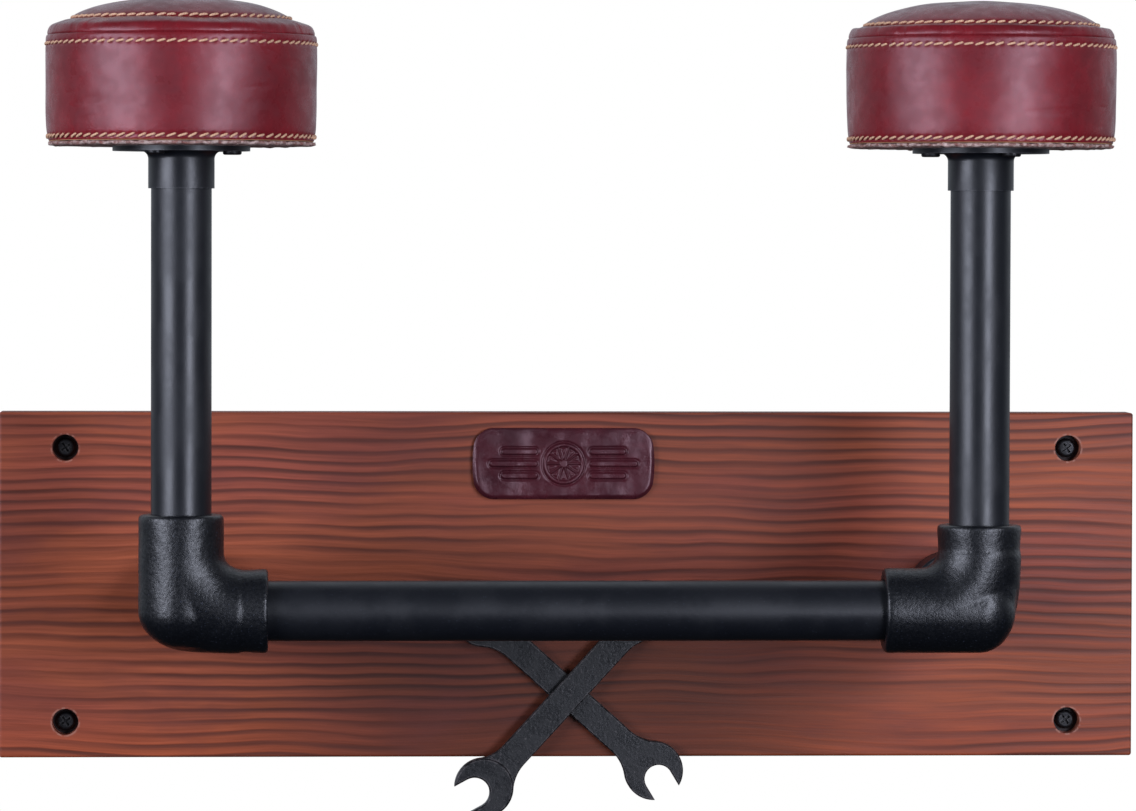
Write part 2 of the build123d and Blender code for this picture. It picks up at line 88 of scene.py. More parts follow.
# ---------------------------------------------------------------- settings
def colour(name, description, *display):
    """A colour setting whose default is a display colour."""
    return FloatVectorProperty(
        name=name, description=description, subtype="COLOR", size=3, min=0, max=1, default=srgb(*display))


def length(name, description, low, high, default):
    """A length setting, given here in millimetres."""
    return FloatProperty(name=name, description=description, subtype="DISTANCE", unit="LENGTH",
                         min=low * MM, max=high * MM, default=default * MM)


def angle(name, description, default):
    """An angle setting, given here in degrees."""
    return FloatProperty(name=name, description=description, subtype="ANGLE", unit="ROTATION",
                         min=radians(-90), max=radians(90), default=radians(default))


class FinishColours(PropertyGroup):
    timber_light: colour("Timber light", "Early wood of the stained board", 154, 77, 47)
    timber_dark: colour("Timber dark", "Late-wood lines of the stained board", 72, 33, 24)
    leather: colour("Leather", "Burgundy cover leather", 128, 30, 38)
    leather_shade: colour("Leather shade", "Darker patches of the cover leather", 108, 24, 31)
    raw_leather: colour("Raw leather", "Cut edge and flesh side of the leather", 214, 188, 178)
    thread: colour("Thread", "Waxed stitching thread", 224, 180, 146)
    paint: colour("Pipe paint", "Satin black paint on the pipes and flanges", 17, 19, 24)
    iron: colour("Cast iron", "Black coated castings", 12, 14, 18)
    tool_steel: colour("Tool steel", "Black oxide on the spanners", 13, 14, 17)


class PadSizes(PropertyGroup):
    stitch_pitch: length("Stitch pitch", "Distance from one stitch to the next round a ring", 2, 10, 4.6)
    stitch_length: length("Stitch length", "Length of thread that shows in one stitch", 1, 8, 4.9)
    thread_thickness: length("Thread thickness", "Diameter of the stitching thread", 0.4, 3, 1.10)
    stitch_slant: angle("Stitch slant", "How far each stitch leans up to the right", 21)
    padding_pressure: FloatProperty(
        name="Padding pressure", description="How hard the foam pushes the crown leather out",
        min=0, max=20, default=4.0)
    padding_cap: length("Padding cap", "Furthest that the leather may swell from its pattern", 0, 10, 2.0)
    dent_depth: length("Stitch dent", "Depth to which a stitch pulls the leather in", 0, 2, 0.45)


class BadgeSizes(PropertyGroup):
    relief: length("Relief", "Height of the raised wheel and bars", 0, 2, 0.55)
    bar_width: length("Bar width", "Width of the raised bars beside the wheel", 0.5, 4, 2.9)
    wheel_radius: length("Wheel radius", "Outer radius of the raised spoked wheel", 3, 14, 9.6)
    spokes: IntProperty(
        name="Spokes", description="Number of spokes in the raised wheel", min=3, max=24, default=10)


class CastingSizes(PropertyGroup):
    grain: length("Surface step", "Spacing of the points that carry the cast surface", 0.4, 3, 0.75)
    lumps: length("Lump height", "Height of the broad unevenness of the castings", 0, 1, 0.08)


class FixingSizes(PropertyGroup):
    wall_screw_head: length("Wall screw head", "Diameter of the wall screws' heads", 4, 20, 8.8)
    wall_screw_core: length(
        "Wall screw core", "Diameter of the wall screws under the thread's ridge", 2, 10, 4.5)
    thread_pitch: length(
        "Thread pitch", "Distance from one turn of the wall screws' thread to the next", 0.8, 5, 1.9)


class StageSizes(PropertyGroup):
    distance: length("Camera distance", "From the camera to the pipe frame", 500, 10000, 2600)
    azimuth: angle("Camera azimuth", "Turn of the camera round the rack, right is positive", -3)
    elevation: angle("Camera elevation", "Height of the camera above level", 1.7)
    roll: angle("Camera roll", "Turn of the camera about its own line of sight", 0.15)
    lens: FloatProperty(
        name="Lens", description="Focal length on a 36 mm sensor", min=10, max=500, default=185.1)
    softbox_power: FloatProperty(
        name="Softbox power", description="Light of the two front softboxes",
        unit="POWER", min=0, max=1000, default=33.0)


# ---------------------------------------------------------------- meshes from arrays
def smooth(mesh):
    mesh.polygons.foreach_set("use_smooth", np.ones(len(mesh.polygons), dtype=bool))


def object_from(name, mesh):
    """Links a mesh to the scene as an object at the origin, shaded smooth."""
    smooth(mesh)
    mesh.update()
    made = bpy.data.objects.new(name, mesh)
    bpy.context.scene.collection.objects.link(made)
    return made


def quads_over(rows, columns):
    """Corner numbers of the cells of a grid that is stored row by row and whose last column joins its first."""
    index = np.arange(rows * columns).reshape(rows, columns)
    index = np.hstack([index, index[:, :1]])
    return np.stack([index[:-1, :-1], index[:-1, 1:], index[1:, 1:], index[1:, :-1]], axis=-1).reshape(-1, 4)


def grid_uv(rows, columns):
    """Each cell corner's place on the grid, 0 to 1 both ways, in the order of quads_over."""
    u = np.arange(columns + 1) / columns
    v = np.arange(rows) / (rows - 1)
    uv = np.stack(np.meshgrid(u, v), axis=-1)
    return np.stack([uv[:-1, :-1], uv[:-1, 1:], uv[1:, 1:], uv[1:, :-1]], axis=2).reshape(-1, 2)


def mesh_from(name, points, quads, uv=None):
    """A mesh of four-sided faces from an array of points in millimetres; points that coincide become one."""
    mesh = bpy.data.meshes.new(name)
    mesh.vertices.add(len(points))
    mesh.vertices.foreach_set("co", (points * MM).astype(np.float32).ravel())
    mesh.loops.add(quads.size)
    mesh.loops.foreach_set("vertex_index", quads.astype(np.int32).ravel())
    mesh.polygons.add(len(quads))
    mesh.polygons.foreach_set("loop_start", np.arange(0, quads.size, 4, dtype=np.int32))
    if uv is not None:
        mesh.uv_layers.new(name="Surface").data.foreach_set("uv", uv.astype(np.float32).ravel())
    mesh.update(calc_edges=True)
    close(mesh)
    return mesh


def mesh_over(name, grid):
    """A mesh of a grid of points whose last column joins its first."""
    rows, columns = grid.shape[:2]
    return mesh_from(name, grid.reshape(-1, 3), quads_over(rows, columns), grid_uv(rows, columns))


def close(mesh):
    """Merges points that coincide, so seams and poles are closed, and turns every face outwards."""
    work = bmesh.new()
    work.from_mesh(mesh)
    bmesh.ops.remove_doubles(work, verts=work.verts, dist=1e-6)
    bmesh.ops.recalc_face_normals(work, faces=work.faces)
    work.to_mesh(mesh)
    work.free()
    mesh.update()


def places(mesh):
    """A mesh's points in millimetres, as an array."""
    flat = np.empty(len(mesh.vertices) * 3, np.float32)
    mesh.vertices.foreach_get("co", flat)
    return flat.reshape(-1, 3).astype(float) / MM


def put(mesh, points):
    """Moves a mesh's points to new places in millimetres."""
    mesh.vertices.foreach_set("co", (points * MM).astype(np.float32).ravel())
    mesh.update()


def directions(mesh):
    """A mesh's outward direction at each point, as an array."""
    flat = np.empty(len(mesh.vertices) * 3, np.float32)
    mesh.vertex_normals.foreach_get("vector", flat)
    return flat.reshape(-1, 3).astype(float)


def applied(made):
    """The object's mesh with its modifiers worked out; the modifiers are then taken off."""
    bpy.context.view_layer.update()
    graph = bpy.context.evaluated_depsgraph_get()
    mesh = bpy.data.meshes.new_from_object(made.evaluated_get(graph))
    made.modifiers.clear()
    made.data = mesh
    return mesh


# ---------------------------------------------------------------- shapes
def unevenness(points, wavelength, seed, waves=48):
    """A smooth random field over points, about -1 to 1: the sum of many plane waves of one wavelength
    that run in random directions with random starts, divided by the root of half their number."""
    dice = np.random.default_rng(seed)
    way = dice.normal(size=(waves, 3))
    way /= np.linalg.norm(way, axis=1, keepdims=True)
    length = wavelength * dice.uniform(0.7, 1.5, size=(waves, 1))
    phase = points @ (tau * way / length).T + dice.uniform(0, tau, waves)
    return np.cos(phase).sum(axis=1) / sqrt(waves / 2) / 1.6


def smooth_profile(corners, steps):
    """Points along a curve through profile corners (radius, height): a Catmull-Rom spline, sampled
    evenly by length."""
    c = np.asarray(corners, float)
    c = np.vstack([2 * c[0] - c[1], c, 2 * c[-1] - c[-2]])
    t = np.linspace(0, 1, 24, endpoint=False)[:, None]
    a, b, d, e = (c[i:len(c) - 3 + i][:, None] for i in range(4))
    run = 0.5 * (2 * b + (d - a) * t + (2 * a - 5 * b + 4 * d - e) * t**2 + (3 * b - a - 3 * d + e) * t**3)
    run = np.vstack([run.reshape(-1, 2), c[-2]])
    along = np.concatenate([[0], np.cumsum(np.linalg.norm(np.diff(run, axis=0), axis=1))])
    at = np.linspace(0, along[-1], steps)
    return np.stack([np.interp(at, along, run[:, 0]), np.interp(at, along, run[:, 1])], axis=1)


def turned(name, profile, axis, columns):
    """A mesh of revolution with its poles and seam closed: each profile point (radius, height) goes round
    an upright axis (x, y) in equal turns, so the point at turn a is (x + r cos a, y + r sin a, z)."""
    turn = np.arange(columns) * tau / columns
    radius, height = profile[:, :1], profile[:, 1:]
    return mesh_over(name, np.stack(
        [axis[0] + radius * np.cos(turn), axis[1] + radius * np.sin(turn), height + 0 * turn], axis=-1))


def stitch_ring(axis, radius, height, lean, count, slant, length, thickness, seed):
    """The stitches of one seam ring. A stitch is a tapered tube along s from -1 to 1, whose section is
    thickness * (1 - s**4) ** 0.5 across, and whose middle bows out of the leather by half its thickness.
    It lies in the leather's plane, turned by its slant, and the ring repeats it at equal turns.
    lean is the elevation of the leather's outward direction."""
    rows, columns = 7, 8
    dice = np.random.default_rng(seed)
    s = np.linspace(-1, 1, rows)[:, None]
    section = np.arange(columns)[None, :] * tau / columns
    thick = 0.5 * thickness * np.sqrt(np.clip(1 - s**4, 0.0, 1))
    along = s * length / 2 + 0 * section
    across = thick * np.cos(section)
    out = thick * np.sin(section) + 0.34 * thickness * (1 - s**2) - 0.30 * thickness
    one = np.stack([along, across, out], axis=-1).reshape(1, -1, 3)
    lean_by = slant + dice.normal(0, 0.06, (count, 1))
    grow = 1 + dice.normal(0, 0.04, (count, 1))
    right = one[..., 0] * grow * np.cos(lean_by) - one[..., 1] * np.sin(lean_by)
    up = one[..., 0] * grow * np.sin(lean_by) + one[..., 1] * np.cos(lean_by)
    turn = (np.arange(count) + dice.normal(0, 0.05, count))[:, None] * tau / count
    level = radius + cos(lean) * one[..., 2] - sin(lean) * up
    points = np.stack([
        axis[0] + level * np.cos(turn) - right * np.sin(turn),
        axis[1] + level * np.sin(turn) + right * np.cos(turn),
        height + sin(lean) * one[..., 2] + cos(lean) * up,
    ], axis=-1)
    cell, uv = quads_over(rows, columns), grid_uv(rows, columns)
    ends = np.array([[0, 3, 2, 1], [0, 5, 4, 3], [0, 7, 6, 5]])
    cell = np.vstack([cell, ends, (rows - 1) * columns + ends[:, ::-1]])
    uv = np.vstack([uv, np.zeros((24, 2))])
    quads = (cell[None] + np.arange(count)[:, None, None] * rows * columns).reshape(-1, 4)
    return points.reshape(-1, 3), quads, np.tile(uv, (count, 1))


def screw_thread(centres, core, start, point, end, pitch):
    """A ridge wound round each screw. At depth y it stands at turn 2 pi y / pitch on a core that narrows from
    the point onwards, and its four-cornered section shrinks to nothing at both ends."""
    y = np.linspace(start, end, round((end - start) / pitch * 22))[:, None]
    turn = tau * y / pitch
    grow = soft_step(y, start, start + 1.5) * (1 - soft_step(y, end - 1.5, end))
    radius = core - 0.8 * core * np.clip((y - point) / 4.0, 0, 1) + grow * np.array([-0.3, 0.3, 0.3, -0.3])
    depth = y + grow * np.array([-0.45, -0.06, 0.06, 0.45])
    one = np.stack([radius * np.cos(turn), depth, radius * np.sin(turn)], axis=-1)
    points = one[None] + np.asarray(centres)[:, None, None]
    cell = quads_over(*one.shape[:2])
    quads = cell[None] + np.arange(len(centres))[:, None, None] * one.shape[0] * one.shape[1]
    return points.reshape(-1, 3), quads.reshape(-1, 4)


def round_axis(at, axis):
    """Each point's offset from an upright axis, its distance from it and its turn about it."""
    away = at[:, :2] - axis
    return away, np.linalg.norm(away, axis=1), np.arctan2(away[:, 1], away[:, 0])


def dents(turn, off, count, depth, reach):
    """How far a row of stitches pulls the leather in: a shallow trough along the row, deepest where the
    thread goes through. off is each point's distance from the row."""
    holes = 0.5 - 0.5 * np.cos(turn * count + pi)
    return depth * np.exp(-(off / reach) ** 2) * (0.45 + 0.9 * holes**3)


def rounded_slab(x, z, half_width, half_height, corner):
    """Distance inside the edge of a rectangle with rounded corners, negative outside it."""
    dx = np.abs(x) - (half_width - corner)
    dz = np.abs(z) - (half_height - corner)
    outside = np.hypot(np.maximum(dx, 0), np.maximum(dz, 0))
    return corner - outside - np.minimum(np.maximum(dx, dz), 0)


def soft_step(value, low, high):
    """0 below low and 1 above high, with a smooth rise between them."""
    t = np.clip((value - low) / (high - low), 0, 1)
    return t * t * (3 - 2 * t)


# ---------------------------------------------------------------- shader helpers
def add(tree, kind, inputs=None, **settings):
    """A shader node with its settings; an input is joined to another node's output or given a value."""
    made = tree.nodes.new("ShaderNode" + kind)
    for key, value in settings.items():
        setattr(made, key, value)
    for key, value in (inputs or {}).items():
        if isinstance(value, bpy.types.NodeSocket):
            tree.links.new(value, made.inputs[key])
        else:
            made.inputs[key].default_value = value
    return made


def calc(tree, operation, *values):
    """The output of one Math node."""
    return add(tree, "Math", dict(enumerate(values)), operation=operation).outputs[0]


def times(tree, first, second):
    return calc(tree, "MULTIPLY", first, second)


def vector(tree, operation, *values):
    """The output of one Vector Math node, which is a number for a length or a dot product."""
    made = add(tree, "VectorMath", dict(enumerate(values)), operation=operation)
    return made.outputs["Value" if operation in ("LENGTH", "DOT_PRODUCT") else "Vector"]


def split(tree, where):
    """The three numbers of a place."""
    return add(tree, "SeparateXYZ", {0: where}).outputs[:]


def between(tree, value, low, high, start=0.0, end=1.0):
    """A value mapped smoothly from one range to another."""
    return add(tree, "MapRange", {0: value, 1: low, 2: high, 3: start, 4: end},
               interpolation_type="SMOOTHSTEP").outputs[0]


def blend(tree, factor, first, second, mode="MIX"):
    """Two colours mixed by a factor."""
    return add(tree, "Mix", {0: factor, 6: first, 7: second},
               data_type="RGBA", blend_type=mode).outputs[2]


def rgba(linear):
    return (*linear, 1.0)


def shade(red, green, blue):
    """A display colour as a colour socket takes it."""
    return rgba(srgb(red, green, blue))


def tinted(tree, base, mask, amount, other):
    """A colour that goes part of the way to another where a mask says."""
    return blend(tree, times(tree, mask, amount), base, other)


def dimmed(tree, base, value):
    """A colour multiplied by one value."""
    grey = add(tree, "CombineColor", {0: value, 1: value, 2: value}).outputs[0]
    return blend(tree, 1.0, base, grey, "MULTIPLY")


def noise(tree, where, scale, detail=3.0, roughness=0.5):
    """The value of one Noise Texture."""
    return add(tree, "TexNoise", {
        "Vector": where, "Scale": scale, "Detail": detail, "Roughness": roughness}).outputs[0]


def stretched(tree, where, scale):
    """Coordinates scaled by a different amount each way."""
    return add(tree, "Mapping", {"Vector": where, "Scale": scale}).outputs[0]


def shared_group(name, numbers, outputs):
    """An empty shader node group that takes a Vector and named numbers, with its input sockets, the Vector's
    own socket and its output node."""
    tree = bpy.data.node_groups.new(name, "ShaderNodeTree")
    tree.interface.new_socket("Vector", in_out="INPUT", socket_type="NodeSocketVector")
    for label, default in numbers.items():
        socket = tree.interface.new_socket(label, in_out="INPUT", socket_type="NodeSocketFloat")
        socket.default_value = default
    for label in outputs:
        tree.interface.new_socket(label, in_out="OUTPUT", socket_type="NodeSocketFloat")
    given = tree.nodes.new("NodeGroupInput").outputs
    return tree, given, given["Vector"], tree.nodes.new("NodeGroupOutput")


def use(tree, name, inputs):
    """Places a shared group in a material and returns its outputs; the groups are built when first needed."""
    if name not in bpy.data.node_groups:
        build_groups()
    return add(tree, "Group", inputs, node_tree=bpy.data.node_groups[name]).outputs


def mottled(tree, where, scale, low, high):
    """The Mottling group's mask."""
    return use(tree, "Mottling", {"Vector": where, "Scale": scale, "Low": low, "High": high})["Mask"]


def worn_edges(tree, base, where, radius, breakup, amount, bare):
    """A colour that goes part of the way to a bare one on worn edges."""
    worn = use(tree, "Worn Edges", {"Vector": where, "Radius": radius, "Breakup": breakup})["Mask"]
    return tinted(tree, base, worn, amount, bare)


def build_groups():
    """The effects that more than one finish uses."""
    tree, given, where, result = shared_group("Mottling", {"Scale": 40.0, "Low": 0.4, "High": 0.6}, ("Mask",))
    cloud = noise(tree, where, given["Scale"], 5.0, 0.6)
    join(tree, result, mask=between(tree, cloud, given["Low"], given["High"]))

    # Worn edges: where a rounded copy of the surface faces another way than the surface itself
    tree, given, where, result = shared_group("Worn Edges", {"Radius": 0.0006, "Breakup": 300.0}, ("Mask",))
    rounded = add(tree, "Bevel", {"Radius": given["Radius"]}, samples=4)
    true = add(tree, "NewGeometry").outputs["Normal"]
    same = vector(tree, "DOT_PRODUCT", rounded.outputs[0], true)
    turned_away = between(tree, same, 0.995, 0.90)
    patchy = between(tree, noise(tree, where, given["Breakup"], 4.0, 0.6), 0.35, 0.6)
    join(tree, result, mask=times(tree, turned_away, patchy))

    # Pebble grain: rounded cells of two sizes with creases between them
    tree, given, where, result = shared_group("Pebble Grain", {"Scale": 900.0}, ("Height",))
    wobble = add(tree, "TexNoise", {"Vector": where, "Scale": 260.0}).outputs["Color"]
    shaken = vector(tree, "MULTIPLY_ADD", where, wobble, (0.0012, 0.0012, 0.0012))
    jitter = vector(tree, "ADD", where, shaken)
    cells = add(tree, "TexVoronoi", {"Vector": jitter, "Scale": given["Scale"]}, feature="SMOOTH_F1")
    cells.inputs["Smoothness"].default_value = 0.4
    pores = noise(tree, where, times(tree, given["Scale"], 0.35), 3.0, 0.6)
    height = calc(tree, "ADD", times(tree, cells.outputs["Distance"], -0.6), pores)
    join(tree, result, height=height)

    # Timber grain: soft growth lines at an even spacing, waved by a slow noise, with long streaks and fine
    # fibres along them
    tree, given, where, result = shared_group(
        "Timber Grain", {"Lines": 150.0, "Wave": 0.03}, ("Lines", "Streaks", "Fibres", "Patches"))
    slow = noise(tree, stretched(tree, where, (4.4, 9.0, 11.0)), 1.0, 2.0, 0.45)
    ripple = noise(tree, stretched(tree, where, (17.0, 30.0, 40.0)), 1.0, 2.0, 0.5)
    x, y, z = split(tree, where)
    level = calc(tree, "ADD", z, times(tree, y, 0.7))
    level = calc(tree, "ADD", level, times(tree, slow, given["Wave"]))
    level = calc(tree, "ADD", level, times(tree, ripple, 0.0035))
    phase = calc(tree, "FRACT", times(tree, level, given["Lines"]))
    rise = between(tree, phase, 0.25, 0.74)
    fall = between(tree, phase, 0.78, 0.98, 1.0, 0.0)
    strength = between(tree, noise(tree, stretched(tree, where, (4.5, 9.0, 34.0)), 1.0, 3.0), 0.32, 0.58,
                       0.10, 1.0)
    lines = times(tree, times(tree, rise, fall), strength)
    join(tree, result, lines=lines)
    bent = add(tree, "CombineXYZ", {0: x, 1: y, 2: level})
    join(tree, result, streaks=noise(tree, stretched(tree, bent.outputs[0], (9.0, 60.0, 240.0)), 1.0, 4.0, 0.6),
         fibres=noise(tree, stretched(tree, bent.outputs[0], (18.0, 500.0, 760.0)), 1.0, 4.0, 0.65),
         patches=noise(tree, stretched(tree, where, (7.0, 12.0, 24.0)), 1.0, 3.0, 0.55))


def new_material(name, **sockets):
    """A material with a Principled BSDF whose even values are set on its own sockets."""
    made = bpy.data.materials.new(name)
    made.use_nodes = True
    tree = made.node_tree
    shader = tree.nodes["Principled BSDF"]
    for key, value in sockets.items():
        shader.inputs[key.replace("_", " ").title().replace("Ior", "IOR")].default_value = value
    where = add(tree, "TexCoord").outputs["Object"]
    return made, tree, shader, where


def bump(tree, shader, height, depth):
    """Feeds a height to the material's normal, with its depth in metres."""
    made = add(tree, "Bump", {"Height": height, "Distance": depth})
    tree.links.new(made.outputs[0], shader.inputs["Normal"])


def join(tree, shader, **outputs):
    """Links values to the shader's sockets by name."""
    for key, value in outputs.items():
        tree.links.new(value, shader.inputs[key.replace("_", " ").title()])


def paint_nodes(material, *nodes):
    """Gives CAD nodes' own material slots a finish."""
    for node in nodes:
        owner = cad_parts[node]
        for held in owner.material_slots:
            held.material = material
        if not owner.material_slots:
            owner.data.materials.append(material)


def finish_piece(made, material, slot, *nodes):
    """Gives a new piece its finish and its body, and hides the CAD nodes it stands for."""
    made.data.materials.clear()
    made.data.materials.append(material)
    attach(made, "root")
    if nodes:
        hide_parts(*nodes)


# ---------------------------------------------------------------- finishes
def make_timber(colours, screw_head):
    """Stained softwood: growth lines and streaks along X, a worn rim at each screw hole, and painted shade
    towards the board's middle and inside the counterbores.
    """
    made, tree, shader, where = new_material("Stained timber", roughness=0.5, specular_ior_level=0.28)
    grain = use(tree, "Timber Grain", {"Vector": where, "Lines": 185.0, "Wave": 0.026})
    x, _, z = split(tree, where)
    base = blend(tree, between(tree, grain["Patches"], 0.34, 0.68), rgba(colours.timber_light),
                 shade(142, 68, 50))
    warm = between(tree, z, -0.045, -0.08)
    base = tinted(tree, base, warm, 0.55, shade(160, 72, 36))
    base = tinted(tree, base, grain["Lines"], 0.80, rgba(colours.timber_dark))
    streak = between(tree, grain["Streaks"], 0.34, 0.68, 0.86, 1.12)
    fibre = between(tree, grain["Fibres"], 0.34, 0.70, 0.86, 1.10)
    # Painted shade: the board is darkened towards its middle, and most of all below the crossbar
    off_middle = calc(tree, "ABSOLUTE", calc(tree, "ADD", x, 0.006))
    shade_strength_by_height = between(tree, z, 0.01, -0.035, 0.20, 0.58)
    painted_middle_shade = calc(tree, "SUBTRACT", 1.0, times(tree, shade_strength_by_height, between(tree, off_middle, 0.19, 0.05)))
    tone = times(tree, times(tree, streak, fibre), painted_middle_shade)
    # The grain's streaks and fibres and the painted shade darken the colour together
    base = dimmed(tree, base, tone)
    smudge = mottled(tree, stretched(tree, where, (1.0, 1.0, 2.6)), 10.0, 0.50, 0.72)
    base = tinted(tree, base, smudge, 0.40, shade(96, 46, 42))
    # Lighter broken rim at each counterbored screw hole, and painted shade darkening the counterbore inside it
    low, high = span("wall_screws")
    across, up = ((high - low)[[0, 2]] * MM - screw_head) / 2
    hole = vector(tree, "SUBTRACT", vector(tree, "ABSOLUTE", where), (across, 0.0, up))
    away = vector(tree, "LENGTH", vector(tree, "MULTIPLY", hole, (1.0, 0.0, 1.0)))
    edge = COUNTERBORE_RADIUS
    rim = times(tree, between(tree, away, edge - 0.0003, edge + 0.0001),
                between(tree, away, edge + 0.0011, edge + 0.0003))
    rim = times(tree, rim, between(tree, noise(tree, where, 420.0), 0.4, 0.6))
    base = tinted(tree, base, rim, 0.75, shade(168, 116, 98))
    # Painted shade: the counterbore is darkened out to its edge
    base = blend(tree, between(tree, away, edge, edge - 0.0003), base, shade(40, 22, 20))
    base = worn_edges(tree, base, where, 0.0010, 160.0, 0.4, shade(70, 38, 36))
    join(tree, shader, base_color=base,
         roughness=between(tree, grain["Fibres"], 0.3, 0.7, 0.42, 0.60))
    ridges = calc(tree, "SUBTRACT", grain["Fibres"], times(tree, grain["Lines"], 0.6))
    bump(tree, shader, ridges, 0.00012)
    return made


def make_plywood():
    made, tree, shader, where = new_material("Plywood", roughness=0.7)
    grain = use(tree, "Timber Grain", {"Vector": where, "Lines": 90.0, "Wave": 0.02})
    _, _, z = split(tree, where)
    ply = between(tree, calc(tree, "FRACT", times(tree, z, 280.0)), 0.45, 0.55)
    base = blend(tree, ply, shade(206, 174, 128), shade(166, 124, 82))
    base = tinted(tree, base, grain["Lines"], 0.4, shade(140, 98, 62))
    join(tree, shader, base_color=base)
    bump(tree, shader, grain["Fibres"], 0.0002)
    return made


def make_leather(name, light, dark, roughness, scale):
    """Waxed leather: slow patches, small clouds and a pebble grain whose creases are darker."""
    made, tree, shader, where = new_material(
        name, roughness=roughness, specular_ior_level=0.5, specular_tint=(1.0, 0.66, 0.72, 1.0),
        coat_roughness=0.25)
    patches = mottled(tree, where, 26.0, 0.36, 0.66)
    clouds = mottled(tree, where, 150.0, 0.35, 0.7)
    base = blend(tree, patches, rgba(light), rgba(dark))
    base = tinted(tree, base, clouds, 0.22, rgba(tuple(0.55 * c for c in dark)))
    pebble = use(tree, "Pebble Grain", {"Vector": where, "Scale": scale})["Height"]
    low_spots = between(tree, pebble, 0.1, 0.45, 0.86, 1.06)
    base = dimmed(tree, base, low_spots)
    join(tree, shader, base_color=base,
         roughness=between(tree, clouds, 0.0, 1.0, roughness - 0.05, roughness + 0.08),
         coat_weight=between(tree, patches, 0.0, 1.0, 0.13, 0.09))
    slack = noise(tree, where, 70.0, 3.0, 0.55)
    bump(tree, shader, calc(tree, "ADD", times(tree, pebble, 0.10), times(tree, slack, 0.42)), 0.0003)
    return made


def make_raw_leather(colours):
    made, tree, shader, where = new_material("Raw leather", roughness=0.85)
    fuzz = mottled(tree, where, 420.0, 0.35, 0.65)
    base = blend(tree, fuzz, rgba(colours.raw_leather), shade(150, 96, 88))
    pebble = use(tree, "Pebble Grain", {"Vector": where, "Scale": 700.0})["Height"]
    join(tree, shader, base_color=base)
    bump(tree, shader, calc(tree, "ADD", pebble, fuzz), 0.0003)
    return made


def make_thread(colours):
    """Two-ply waxed thread: slanted stripes along the stitch's own length, darker in the lay, with painted shadow
    at each stitch's ends.
    """
    made, tree, shader, where = new_material("Waxed thread", roughness=0.55)
    uv = add(tree, "UVMap", uv_map="Surface").outputs[0]
    x, y, _ = split(tree, uv)
    lay = calc(tree, "ADD", times(tree, y, 4.0), times(tree, x, 2.0))
    ply = between(tree, calc(tree, "PINGPONG", lay, 0.5), 0.0, 0.2)
    ends = calc(tree, "PINGPONG", y, 0.5)
    base = blend(tree, ply, shade(204, 150, 106), rgba(colours.thread))
    dirt = mottled(tree, where, 60.0, 0.4, 0.7)
    base = tinted(tree, base, dirt, 0.35, shade(192, 146, 122))
    # Painted shadow: each stitch darkens towards its ends, where the thread goes into the leather
    base = blend(tree, between(tree, ends, 0.07, 0.0), base, shade(96, 44, 36))
    join(tree, shader, base_color=base)
    bump(tree, shader, ply, 0.0002)
    return made


def make_paint(name, colour, roughness, coarse):
    made, tree, shader, where = new_material(
        name, roughness=roughness, specular_ior_level=0.5, coat_roughness=0.3)
    dust = mottled(tree, where, 900.0, 0.60, 0.78)
    cloud = mottled(tree, where, 45.0, 0.35, 0.7)
    base = blend(tree, times(tree, dust, 0.30), rgba(colour), shade(70, 76, 90))
    base = worn_edges(tree, base, where, 0.0005, 500.0, 0.5, shade(120, 120, 126))
    join(tree, shader, base_color=base,
         roughness=between(tree, cloud, 0.0, 1.0, roughness - 0.04, roughness + 0.06))
    bump(tree, shader, noise(tree, where, 520.0, 3.0, 0.6), coarse)
    return made


def make_iron(colours):
    made, tree, shader, where = new_material("Black cast iron", roughness=0.38, specular_ior_level=0.5)
    pits = noise(tree, where, 700.0, 4.0, 0.65)
    sand = noise(tree, where, 1800.0, 2.0, 0.6)
    fleck = mottled(tree, where, 1100.0, 0.60, 0.74)
    cloud = mottled(tree, where, 60.0, 0.35, 0.7)
    base = blend(tree, cloud, rgba(colours.iron), shade(10, 12, 16))
    base = tinted(tree, base, fleck, 0.40, shade(78, 84, 100))
    base = worn_edges(tree, base, where, 0.0009, 420.0, 0.65, shade(150, 146, 146))
    join(tree, shader, base_color=base, roughness=between(tree, pits, 0.3, 0.7, 0.27, 0.42))
    bump(tree, shader, calc(tree, "ADD", pits, times(tree, sand, 0.4)), 0.00015)
    return made


def make_steel(name, colour, pale, metallic, roughness, wear):
    made, tree, shader, where = new_material(name, metallic=metallic, roughness=roughness)
    cloud = mottled(tree, where, 120.0, 0.35, 0.7)
    fleck = mottled(tree, where, 800.0, 0.58, 0.72)
    base = blend(tree, cloud, rgba(colour), rgba(tuple(0.5 * c for c in colour)))
    base = tinted(tree, base, fleck, 0.5, rgba(pale))
    base = worn_edges(tree, base, where, 0.0009, 380.0, wear, rgba(pale))
    join(tree, shader, base_color=base,
         roughness=between(tree, cloud, 0.0, 1.0, roughness - 0.08, roughness + 0.10))
    bump(tree, shader, noise(tree, where, 650.0, 4.0, 0.6), 0.00012)
    return made


